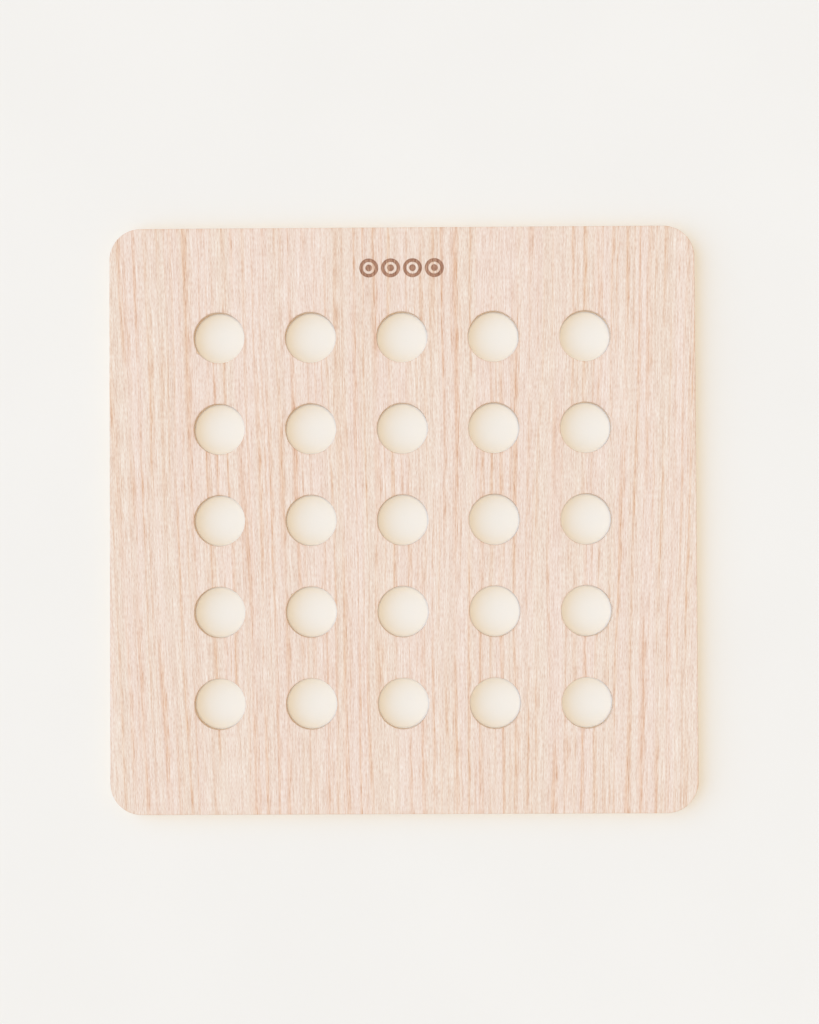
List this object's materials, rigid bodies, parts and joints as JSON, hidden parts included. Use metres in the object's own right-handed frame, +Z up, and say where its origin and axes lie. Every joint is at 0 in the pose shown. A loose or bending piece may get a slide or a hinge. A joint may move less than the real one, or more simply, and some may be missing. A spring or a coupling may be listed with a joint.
{
  "type": "four in a row board",
  "caption": "Flat square plywood game board with rounded corners, a square grid of round through holes for playing pieces, and a small engraved ornament.",
  "frame": {"origin": "middle of the underside, in the middle of the board's square outline", "axes": "+Z up through the board's thickness when it lies flat, +Y towards the edge with the engraved ornament and along the oak's grain, +X to the right seen from above"},
  "size_m": [0.288, 0.288, 0.0075],
  "materials": {
    "oak_face": "pale pinkish straight-grained oak veneer with fine open pores, sanded and finished matt, with a browned engraving",
    "oak_back": "plainer, slightly darker straight-grained oak veneer, sanded matt",
    "birch_along": "pale birch veneer with its grain along the oak's, seen only at the cut edges, where it is darker on end grain, matt",
    "birch_across": "birch veneer with its grain across the oak's, seen only at the cut edges, where it is darker on end grain, matt"
  },
  "bodies": {
    "root": {"back_veneer": "oak_back", "lower_crossband": "birch_across", "lower_long_ply": "birch_along", "centre_crossband": "birch_across", "upper_long_ply": "birch_along", "upper_crossband": "birch_across", "face_veneer": "oak_face"}
  },
  "joints": []
}
